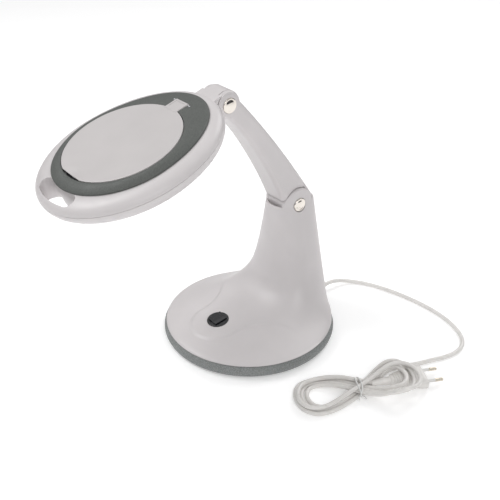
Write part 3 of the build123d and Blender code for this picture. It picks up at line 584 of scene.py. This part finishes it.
def head_cover():
    rows = [head_row(WIDEST, PARTING - gap, inset) for gap, inset in PARTING_EDGE]
    rows += quarter_rows(WIDEST, COVER_EDGE, PARTING, COVER_TOP)
    rows += [head_row(COVER_EDGE, COVER_TOP, 0.7), circle_row(LENS_OPENING, COVER_TOP),
             circle_row(LENS_OPENING, COVER_TOP + 3), circle_row(LIGHT_OPENING, COVER_TOP + 4),
             circle_row(LIGHT_OPENING, PARTING - 0.02)]
    cover = lathe_rows(rows, "head_top_cover", "white_plastic", 40, close=True)
    carve(cover, slot_cutter())
    round_slot(cover)
    return place(cover, "head", "white_plastic", "head_upper_cover")


def lens_barrel():
    """Tube round the lens, with the step that the lens rests on."""
    # radius and depth
    profile = [(57, 30.6), (57.4, 31), (59.0, 31), (59.4, 30.6), (59.4, 13), (62.4, 13),
               (62.4, 9.7), (60.1, 9.7), (60.1, 10.37), (57.3, 10.37), (57, 10.7)]
    rows = [circle_row(radius, depth) for radius, depth in profile]
    barrel = lathe_rows(rows, "lens_barrel", "white_plastic", 40, close=True)
    return place(barrel, "head", "white_plastic")


def head_housing():
    rows = [head_row(WIDEST, PARTING + gap, inset) for gap, inset in PARTING_EDGE]
    rows += quarter_rows(WIDEST, BOTTOM_EDGE, PARTING, UNDERSIDE)
    rows += [circle_row(70.3, UNDERSIDE), circle_row(69.8, UNDERSIDE - 0.3),
             circle_row(LIGHT_OPENING, UNDERSIDE - 0.8),
             circle_row(LIGHT_OPENING, PARTING + 0.02)]
    housing = lathe_rows(rows, "head_bottom_housing", "white_plastic", 40, close=True)
    carve(housing, slot_cutter())
    for x, y in HEAD_SCREWS:
        carve(housing, drum(head_point(x, y, UNDERSIDE), HEAD_UP, 3.1, -2, 5, 36))
    round_slot(housing)
    return place(housing, "head", "white_plastic", "head_lower_housing")


def trim_ring():
    """Domed grey ring, its outer edge rolled over and its inner edge a step down to the lid."""
    rows = [head_row(RING_EDGE, 6.55, 0.5), head_row(RING_EDGE, 6.2, 0.0),
            head_row(RING_EDGE, 5.3, 0.0), head_row(RING_EDGE, 4.9, 0.15),
            head_row(RING_EDGE, 4.65, 0.5)]
    inner_radius, inner_depth, fall, steps = 64, 0.75, 3.8, 12
    for step in range(1, steps + 1):
        share = step / steps
        sizes = [size + (inner_radius - size) * share for size in RING_EDGE]
        depth = inner_depth + fall * (1 - share) ** 1.7
        rows.append(head_row(sizes, depth, 0.5 * (1 - share)))
    rows += [circle_row(62.3, 0.72), circle_row(61.8, 0.9), circle_row(61.6, 1.3),
             circle_row(61.6, 6.55)]
    ring = lathe_rows(rows, "grey_trim_ring", "dark_grey_plastic", 40, close=True)
    # room for the lid's tab
    half, start, end = 10.45, 56.0, 75.95
    corners = [(-half, start), (half, start), (half, end), (-half, end)]
    notch = lathe_rows([[head_point(x, y, depth) for x, y in corners] for depth in (8, -4)],
                       "cutter", "white_plastic")
    carve(ring, notch)
    return place(ring, "head", "dark_grey_plastic", "trim_ring")


LID_RADIUS = 61.0
LID_THICKNESS = 2.2
NOTCH_FRONT = 58.8                   # straight side of the notch, from the centre of the lid
NOTCH_HALF_WIDTH = 15.0


def lid_radius_at(turn):
    """Round, with a straight notch for a fingertip at the front."""
    if sin(turn) < 0 and abs(cos(turn) / sin(turn)) * NOTCH_FRONT < NOTCH_HALF_WIDTH:
        return NOTCH_FRONT / abs(sin(turn))
    return LID_RADIUS


def lid_tab():
    """Tab at the rear, rolled round its pin, with a sunk panel on top."""
    half, roll, middle, pin_depth = 10.0, 1.85, 73.5, 1.9
    side_rows = []
    for x, inset in ((-half, 0.35), (-half + 0.35, 0), (half - 0.35, 0), (half, 0.35)):
        profile = [(58.5, 0.02 + inset), (70.0, 0.02 + inset)]
        profile += [(middle + (roll - inset) * sin(turn), pin_depth - (roll - inset) * cos(turn))
                    for turn in [pi * step / 12 for step in range(13)]]
        profile += [(70.0, LID_THICKNESS - inset), (58.5, LID_THICKNESS - inset)]
        side_rows.append([head_point(x, y, depth) for y, depth in profile])
    tab = lathe_rows(side_rows, "tab", "lid_plastic", 40)
    panel = [(-7.4, 62.6), (7.4, 62.6), (7.4, 72.4), (-7.4, 72.4)]
    carve(tab, lathe_rows([[head_point(x, y, depth) for x, y in panel] for depth in (0.42, -3)],
                          "cutter", "lid_plastic"))
    return tab


def lid_plate():
    turns = [2 * pi * step / 240 for step in range(240)]

    def row(share, depth):
        points = []
        for turn in turns:
            radius = lid_radius_at(turn) * share
            x, y = radius * cos(turn), radius * sin(turn)
            points.append(head_point(x, y, depth - dimple(x, y) if depth < 1 else depth))
        return points

    def dimple(x, y):
        """Height of the top: very slightly domed, with a shallow hollow at the notch, where a
        thumb goes."""
        reach = sqrt((x / 13) ** 2 + ((y + 56) / 9) ** 2)
        return -0.9 * (1 - ease(reach)) + 0.25 * (1 - (x * x + y * y) / LID_RADIUS ** 2) - 0.25

    rows = [row(share, LID_THICKNESS - rise)
            for share, rise in ((0.97, 0), (0.9905, 0), (0.9975, 0.12), (1.0, 0.45))]
    rows += [row(1.0, 0.5), row(0.9975, 0.15), row(0.9905, 0.0)]
    rows += [row(share, 0.0) for share in (0.975, 0.95, 0.925, 0.9, 0.87, 0.84, 0.8, 0.75,
                                           0.65, 0.5, 0.3, 0.1)]
    plate = lathe_rows(rows, "lens_lid", "lid_plastic", 40)
    carve(plate, lid_tab(), "UNION")
    return place(plate, "lid", "lid_plastic", "lid")


head_cover()
lens_barrel()
head_housing()
trim_ring()
lid_plate()


# ---- chrome caps of the hinges --------------------------------------------------------------

UPPER_PIVOT = (-36.892, 297.442)
LOWER_CAP_FACE = 21.5        # faces that the caps stand out of, from the plane of symmetry
UPPER_CAP_FACE = 16.3


def chrome_caps(name, body, center, face, replaced):
    """Pair of domed caps about X, each with a rolled edge that stands just clear of its seat."""
    count = 72
    # radius, and height above the face
    profile = [(8.1, -2.4), (8.2, -2.2), (8.2, -0.1), (8.15, 0.35), (7.95, 0.72), (7.6, 0.92),
               (7.1, 0.96), (6.6, 0.88), (6.1, 0.95), (5.2, 1.3), (4.2, 1.62), (3.0, 1.86),
               (1.5, 2.0)]
    points, faces = [], []
    for side in (1, -1):
        first = len(points)
        for radius, height in profile:
            for step in range(count):
                turn = 2 * pi * step / count
                points.append((side * (face + height), center[0] + radius * cos(turn),
                               center[1] + radius * sin(turn)))
        faces += ring_faces(len(profile), count, first)
        last = first + (len(profile) - 1) * count
        faces += [tuple(range(first, first + count)), tuple(range(last, last + count))]
    caps = new_piece(name, points, faces, "chrome", 50)
    return place(caps, body, slots[replaced], replaced)


chrome_caps("lower_chrome_caps", "base", LOWER_PIVOT, LOWER_CAP_FACE, "lower_hinge_caps")
chrome_caps("upper_chrome_caps", "arm", UPPER_PIVOT, UPPER_CAP_FACE, "upper_hinge_caps")


# ---- cord and hank --------------------------------------------------------------------------

CORD_RADIUS = 2.5
CORD_START = (0, 127.8, 9)
CLIMB_START = 12.0           # the hank's strands lie level this near the tie, and climb over
CLIMB_LENGTH = 34.0          # this much beyond it


def hank_point(along, across, height):
    """A place in the hank: along its length, across it and above the floor."""
    direction = Vector((0.459, 0.888, 0)).normalized()
    side = Vector((-direction.y, direction.x, 0))
    middle = Vector((173, 16, 0)) + direction * along + side * across
    return (middle.x, middle.y, height)


free_points = [
    CORD_START, (0, 140, 9), (3, 154, 5.6), (11, 167, 3.0), (26, 178, CORD_RADIUS),
    (47, 187, CORD_RADIUS), (72, 194, CORD_RADIUS), (101, 199, CORD_RADIUS),
    (131, 200, CORD_RADIUS), (156, 195.5, CORD_RADIUS), (176, 187, CORD_RADIUS),
    (190, 174, CORD_RADIUS), (195, 157, CORD_RADIUS), (193, 140, CORD_RADIUS),
    (187, 123, CORD_RADIUS), (182, 107, CORD_RADIUS), (177, 95, CORD_RADIUS),
    (171.5, 80, CORD_RADIUS),
]

# places of the strands in the tie, across and up, in the order that the cord passes: away from
# the plug on the first of each pair and back towards it on the second
waist = [(-6.0, 2.6), (6.0, 7.7), (0.0, 2.6), (0.0, 7.7), (6.0, 2.6), (-6.0, 7.7), (-3.0, 12.8),
         (8.0, 12.8)]
# each loop: its reach along the hank, how far it spreads, the height of its end, and how far it
# leans to one side
lower_loops = [(-70, 23, 2.6, 0), (-63, 22, 2.6, 0), (-57, 21.5, 2.6, 0), (-68, 19, 7.8, -6)]
upper_loops = [(55, 19, 16.6, 0), (63, 24, 16.6, 0), (67, 21, 21.8, 0)]


def lobe(loop, start, end, steps=14):
    """Points of one loop, out of the tie from one strand place and back to another. The strands
    cross in the tie and pass straight through it."""
    reach, spread, top, lean = loop
    points = []
    for step in range(1, steps):
        turn = pi * step / steps
        across = start[0] + (end[0] - start[0]) * ease(turn / pi)
        leave = (start if turn < pi / 2 else end)[1]
        climb = ease((abs(reach) * sin(turn) - CLIMB_START) / CLIMB_LENGTH)
        height = leave + (top - leave) * climb
        across += lean * sin(turn) ** 2 - spread * sin(2 * turn)
        points.append(hank_point(reach * sin(turn), across, height))
    return points


def hank_points():
    """In from the free stretch, through the tie and round each loop in turn, and out to the plug."""
    points = [hank_point(*spot, 2.6) for spot in ((46, 29), (38, 24.5), (31, 17.5), (24.5, 10.5),
                                                  (17, 4), (8.5, -1))]
    for turn in range(4):
        down, up = waist[2 * turn], waist[2 * turn + 1]
        points.append(hank_point(0, *down))
        points += lobe(lower_loops[turn], down, up)
        points.append(hank_point(0, *up))
        if turn < 3:
            points += lobe(upper_loops[turn], up, waist[2 * turn + 2])
    points += [hank_point(9, 6.9, 9.6), hank_point(19.5, 7.0, 7)]
    return points


def smooth_curve(name, points, radius):
    """Open NURBS curve with the points as control points, in millimetres."""
    data = bpy.data.curves.new(name, "CURVE")
    data.dimensions = "3D"
    spline = data.splines.new("NURBS")
    spline.points.add(len(points) - 1)
    for slot, point in zip(spline.points, points):
        slot.co = (*(Vector(point) * MM), 1)
    spline.order_u = 3
    spline.use_endpoint_u = True
    spline.resolution_u = 8
    data.bevel_depth = radius * MM
    data.bevel_resolution = 6
    data.use_fill_caps = True
    data.resolution_u = 8
    piece = bpy.data.objects.new(name, data)
    bpy.context.scene.collection.objects.link(piece)
    return piece


def wire_tie():
    """Thin tie wound twice round the waist of the hank, with its two ends out at one side."""
    points, faces = [], []
    steps, sides, radius = 72, 10, 0.85
    middle, half_width, center_height, half_height = 0.9, 11.4, 8.3, 7.4

    def tube(centers, closed):
        first = len(points)
        for index, center in enumerate(centers):
            after = centers[(index + 1) % steps if closed else min(index + 1, len(centers) - 1)]
            before = centers[index - 1 if closed else max(index - 1, 0)]
            along = (after - before).normalized()
            across = along.orthogonal() if abs(along.z) > 0.9 else along.cross(Vector((0, 0, 1)))
            across.normalize()
            other = along.cross(across)
            for side in range(sides):
                turn = 2 * pi * side / sides
                points.append(center + radius * (across * cos(turn) + other * sin(turn)))
        faces.extend(ring_faces(len(centers), sides, first, closed))
        if not closed:
            last = first + (len(centers) - 1) * sides
            faces.append(tuple(range(first, first + sides)))
            faces.append(tuple(range(last, last + sides)))

    for lean in (2.6, -2.2):
        loop = []
        for step in range(steps):
            turn = 2 * pi * step / steps
            across, up = superellipse(turn, 2.8)
            loop.append(Vector(hank_point(lean * sin(turn), middle + half_width * across,
                                          center_height + half_height * up)))
        tube(loop, True)
    for lean in (2.0, -1.6):
        tube([Vector(hank_point(lean * (1 - share) + lean * share * 2.4, -10 - 7 * share,
                                5 + 1.5 * sin(3 * share)))
              for share in (0.0, 0.25, 0.5, 0.75, 1.0)], False)
    tie = new_piece("wire_tie", points, faces, "tie_plastic", 60)
    return place(tie, "base", "tie_plastic", "hank_tie")


PLUG_FACE = Vector((202.5, 88.5, 6.8))
PLUG_DIRECTION = Vector((0.45, 0.893, 0)).normalized()
# distance behind the pin face, half width and half thickness
PLUG_PROFILE = [(0.0, 16.6, 5.9), (0.35, 17.3, 6.5), (1.0, 17.6, 6.8), (7.0, 16.9, 6.8),
                (12.0, 15.2, 6.8), (18.0, 13.0, 6.8), (28.0, 9.8, 6.5), (38.0, 6.4, 5.3),
                (39.5, 5.0, 4.6), (50.0, 4.0, 3.9), (61.0, 3.0, 3.0)]


def moulded_plug():
    """Flat plug with a ribbed grip, and a tapered sleeve over the cord."""
    side = PLUG_DIRECTION.cross(Vector((0, 0, 1)))
    count, grip_start, grip_end, rib_pitch, groove = 64, 17.6, 37.5, 2.5, 0.7
    stations = [0.0, 0.35, 1.0, 4.0, 7.0, 12.0, 17.0]
    for rib in range(8):
        start = grip_start + rib_pitch * rib
        stations += [start, start + 0.35, start + 1.1, start + 1.45]
    stations += [38.0, 38.6, 39.5, 50.0, 60.6, 61.0]
    rows = []
    for distance in stations:
        for low, high in zip(PLUG_PROFILE, PLUG_PROFILE[1:]):
            if low[0] <= distance <= high[0]:
                share = (distance - low[0]) / (high[0] - low[0])
                half, thick = (a + (b - a) * share for a, b in zip(low[1:], high[1:]))
        into = (distance - grip_start) % rib_pitch
        if grip_start < distance < grip_end and 0.3 < into < 1.2:
            half, thick = half - groove, thick - groove
        row = []
        for step in range(count):
            across, up = superellipse(2 * pi * step / count, 3.4 if distance < 39 else 2.0)
            row.append(PLUG_FACE - PLUG_DIRECTION * distance + side * half * across
                       + Vector((0, 0, thick * up)))
        rows.append(row)
    plug = lathe_rows(rows, "moulded_plug", "cord_sheath", 30)
    return place(plug, "base", "cord_sheath", "plug_body")


tie = wire_tie()
plug = moulded_plug()
route = free_points + hank_points()
mains_cord = smooth_curve("mains_cord", route, CORD_RADIUS)
mains_cord.data.materials.append(MATERIALS["cord_sheath"])
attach(mains_cord, "base")
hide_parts("power_cord", "cord_hank")


# ---- studio ---------------------------------------------------------------------------------

def area_light(name, spot, target, size, power):
    """Round white lamp that points at the target, with its power in watts."""
    data = bpy.data.lights.new(name, "AREA")
    data.shape = "DISK"
    data.size = size
    data.energy = power
    light = bpy.data.objects.new(name, data)
    bpy.context.scene.collection.objects.link(light)
    light.location = spot
    light.rotation_euler = (Vector(target) - Vector(spot)).to_track_quat("-Z", "Y").to_euler()


def studio_floor():
    mesh = bpy.data.meshes.new("studio_floor")
    half = 6.0
    mesh.from_pydata([(-half, -half, 0), (half, -half, 0), (half, half, 0), (-half, half, 0)],
                     [], [(0, 1, 2, 3)])
    finish = Finish("studio_floor", (0.93, 0.93, 0.93), 0.8, Emission_Color=(1, 1, 1, 1),
                    Emission_Strength=0.22)
    mesh.materials.append(finish.material)
    floor = bpy.data.objects.new("studio_floor", mesh)
    bpy.context.scene.collection.objects.link(floor)


studio_floor()
area_light("key_light", (-0.9, -0.9, 1.7), (0, 0, 0.15), 1.0, 15)
area_light("fill_light", (1.6, -0.6, 1.2), (0, 0, 0.15), 1.2, 10)
area_light("back_light", (-0.4, 1.6, 1.5), (0, 0, 0.2), 1.0, 10)

bpy.context.scene.view_settings.view_transform = "Standard"


def studio_world():
    """Bright overhead, with a dim band above the horizon that gloss and chrome pick up."""
    world = bpy.data.worlds.new("studio")
    world.use_nodes = True
    tree = world.node_tree
    background = tree.nodes["Background"]
    background.inputs["Strength"].default_value = 0.62
    direction = tree.nodes.new("ShaderNodeTexCoord").outputs["Generated"]
    split = tree.nodes.new("ShaderNodeSeparateXYZ")
    tree.links.new(direction, split.inputs["Vector"])
    ramp = tree.nodes.new("ShaderNodeValToRGB")
    ramp.color_ramp.elements[0].position = 0.02
    ramp.color_ramp.elements[0].color = (0.03, 0.03, 0.035, 1)
    ramp.color_ramp.elements[1].position = 0.5
    ramp.color_ramp.elements[1].color = (1, 1, 1, 1)
    middle = ramp.color_ramp.elements.new(0.25)
    middle.color = (0.25, 0.25, 0.27, 1)
    tree.links.new(split.outputs["Z"], ramp.inputs["Fac"])
    tree.links.new(ramp.outputs["Color"], background.inputs["Color"])
    bpy.context.scene.world = world


studio_world()

# ---- camera ---------------------------------------------------------------------------------

camera_data = bpy.data.cameras.new("camera")
camera_data.sensor_width = 36
camera_data.lens = 57.2
camera = bpy.data.objects.new("camera", camera_data)
bpy.context.scene.collection.objects.link(camera)
camera_right = Vector((0.617, 0.787, 0)).normalized()
camera_back = Vector((0.676, -0.530, 0.511)).normalized()
camera_right = (camera_right - camera_back * camera_right.dot(camera_back)).normalized()
camera_up = camera_back.cross(camera_right)
camera_place = (0.6263, -0.4894, 0.5807)
camera.matrix_world = Matrix((*zip(camera_right, camera_up, camera_back, camera_place),
                              (0, 0, 0, 1)))
bpy.context.scene.camera = camera
